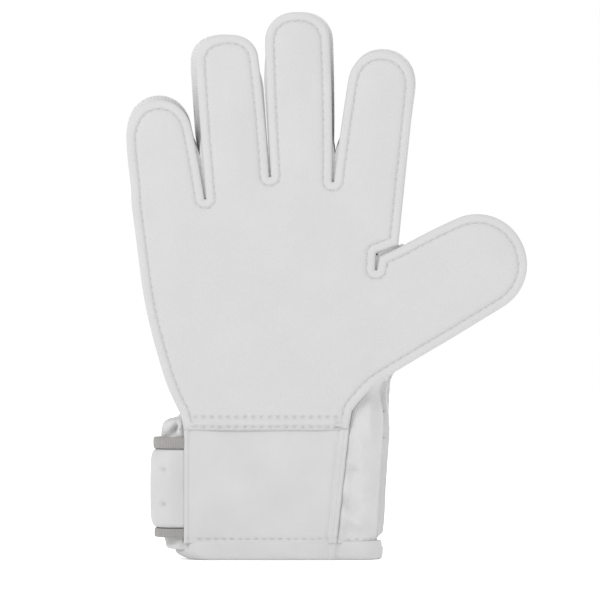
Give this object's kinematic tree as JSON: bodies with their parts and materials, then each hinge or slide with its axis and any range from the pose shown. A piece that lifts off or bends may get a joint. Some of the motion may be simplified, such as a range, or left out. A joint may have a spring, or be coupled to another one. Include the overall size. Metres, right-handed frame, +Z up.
{
  "type": "goalkeeper glove",
  "caption": "Right-hand padded sports glove with a flat foam palm, gusseted fingers that curl, a flexing wrist, a stitched cuff and a hook-and-loop wrist strap.",
  "frame": {"origin": "below the middle of the glove's bounding box, on the surface that the cuff's hem stands on", "axes": "+Z up towards the fingertips, +X towards the thumb, -Y out of the palm and +Y out of the back of the hand"},
  "size_m": [0.1892, 0.0304, 0.26],
  "materials": {
    "palm_foam": "matte latex foam",
    "back_foam": "smooth coated foam",
    "gusset_knit": "fine knit",
    "cuff_foam": "smooth coated foam with topstitching",
    "stretch_fabric": "wrinkled elastic knit",
    "lining_fabric": "brushed knit",
    "grey_tape": "ribbed woven binding tape",
    "hook_and_loop": "hook-and-loop pile"
  },
  "bodies": {
    "cuff": {"cuff_front_panel": "cuff_foam", "cuff_back_panel": "cuff_foam", "cuff_hem": "cuff_foam", "cuff_lining": "lining_fabric", "cuff_little_side_gusset": "stretch_fabric", "cuff_thumb_side_gusset": "stretch_fabric", "wrist_flex_band": "stretch_fabric", "strap_wrap": "cuff_foam", "strap_wrap_binding_top": "grey_tape", "strap_wrap_binding_bottom": "grey_tape", "loop_patch": "hook_and_loop"},
    "hand": {"palm_panel": "palm_foam", "backhand_panel": "back_foam", "little_side_gusset": "gusset_knit", "little_ring_fork_gusset": "gusset_knit", "ring_middle_fork_gusset": "gusset_knit", "middle_index_fork_gusset": "gusset_knit", "thumb_crotch_gusset": "gusset_knit", "thumb_side_gusset": "stretch_fabric"},
    "little_near": {"little_palm_near": "palm_foam", "little_back_near": "back_foam", "little_gusset_near_a": "gusset_knit", "little_gusset_near_b": "gusset_knit"},
    "little_far": {"little_palm_far": "palm_foam", "little_back_far": "back_foam", "little_gusset_far": "gusset_knit"},
    "ring_near": {"ring_palm_near": "palm_foam", "ring_back_near": "back_foam", "ring_gusset_near_a": "gusset_knit", "ring_gusset_near_b": "gusset_knit"},
    "ring_far": {"ring_palm_far": "palm_foam", "ring_back_far": "back_foam", "ring_gusset_far": "gusset_knit"},
    "middle_near": {"middle_palm_near": "palm_foam", "middle_back_near": "back_foam", "middle_gusset_near_a": "gusset_knit", "middle_gusset_near_b": "gusset_knit"},
    "middle_far": {"middle_palm_far": "palm_foam", "middle_back_far": "back_foam", "middle_gusset_far": "gusset_knit"},
    "index_near": {"index_palm_near": "palm_foam", "index_back_near": "back_foam", "index_gusset_near_a": "gusset_knit", "index_gusset_near_b": "gusset_knit"},
    "index_far": {"index_palm_far": "palm_foam", "index_back_far": "back_foam", "index_gusset_far": "gusset_knit"},
    "thumb_near": {"thumb_palm_near": "palm_foam", "thumb_back_near": "back_foam", "thumb_gusset_near_a": "gusset_knit", "thumb_gusset_near_b": "gusset_knit"},
    "thumb_far": {"thumb_palm_far": "palm_foam", "thumb_back_far": "back_foam", "thumb_gusset_far": "gusset_knit"},
    "strap_flap": {"strap_flap": "cuff_foam", "strap_flap_binding_top": "grey_tape", "strap_flap_binding_bottom": "grey_tape", "hook_patch": "hook_and_loop", "pull_tab": "grey_tape"}
  },
  "joints": [
    {"name": "wrist_flex", "type": "hinge", "parent": "cuff", "child": "hand", "pos_m": [0, -0.00127, 0.0635], "axis": [1, 0, 0], "range_deg": [-30, 30], "stiffness_Nm_per_rad": 0.4, "deforming": ["wrist_flex_band"]},
    {"name": "little_curl", "type": "hinge", "parent": "hand", "child": "little_near", "pos_m": [-0.07508, -0.01327, 0.17122], "axis": [0.9903, 0, 0.1392], "range_deg": [0, 55], "stiffness_Nm_per_rad": 0.03},
    {"name": "little_tip_curl", "type": "hinge", "parent": "little_near", "child": "little_far", "pos_m": [-0.07786, -0.01327, 0.19099], "axis": [0.9903, 0, 0.1392], "range_deg": [0, 55], "stiffness_Nm_per_rad": 0.015},
    {"name": "ring_curl", "type": "hinge", "parent": "hand", "child": "ring_near", "pos_m": [-0.0434, -0.01327, 0.18294], "axis": [0.9969, 0, 0.0785], "range_deg": [0, 55], "stiffness_Nm_per_rad": 0.03},
    {"name": "ring_tip_curl", "type": "hinge", "parent": "ring_near", "child": "ring_far", "pos_m": [-0.04561, -0.01327, 0.211], "axis": [0.9969, 0, 0.0785], "range_deg": [0, 55], "stiffness_Nm_per_rad": 0.015},
    {"name": "middle_curl", "type": "hinge", "parent": "hand", "child": "middle_near", "pos_m": [-0.01389, -0.01327, 0.18432], "axis": [1, 0, 0.0087], "range_deg": [0, 55], "stiffness_Nm_per_rad": 0.03},
    {"name": "middle_tip_curl", "type": "hinge", "parent": "middle_near", "child": "middle_far", "pos_m": [-0.01417, -0.01327, 0.21643], "axis": [1, 0, 0.0087], "range_deg": [0, 55], "stiffness_Nm_per_rad": 0.015},
    {"name": "index_curl", "type": "hinge", "parent": "hand", "child": "index_near", "pos_m": [0.02048, -0.01327, 0.17991], "axis": [0.9945, 0, -0.1045], "range_deg": [0, 55], "stiffness_Nm_per_rad": 0.03},
    {"name": "index_tip_curl", "type": "hinge", "parent": "index_near", "child": "index_far", "pos_m": [0.02323, -0.01327, 0.20601], "axis": [0.9945, 0, -0.1045], "range_deg": [0, 55], "stiffness_Nm_per_rad": 0.015},
    {"name": "thumb_curl", "type": "hinge", "parent": "hand", "child": "thumb_near", "pos_m": [0.03442, -0.01327, 0.12073], "axis": [0.4695, 0, -0.8829], "range_deg": [0, 50], "stiffness_Nm_per_rad": 0.03},
    {"name": "thumb_tip_curl", "type": "hinge", "parent": "thumb_near", "child": "thumb_far", "pos_m": [0.06091, -0.01327, 0.13481], "axis": [0.4695, 0, -0.8829], "range_deg": [0, 50], "stiffness_Nm_per_rad": 0.015},
    {"name": "strap_open", "type": "hinge", "parent": "cuff", "child": "strap_flap", "pos_m": [-0.06494, 0.01523, 0.03445], "axis": [0, 0, 1], "range_deg": [0, 150]}
  ],
  "couplings": [
    {"joint": "little_tip_curl", "follows": "little_curl", "ratio": 1},
    {"joint": "ring_tip_curl", "follows": "ring_curl", "ratio": 1},
    {"joint": "middle_tip_curl", "follows": "middle_curl", "ratio": 1},
    {"joint": "index_tip_curl", "follows": "index_curl", "ratio": 1},
    {"joint": "thumb_tip_curl", "follows": "thumb_curl", "ratio": 1}
  ]
}
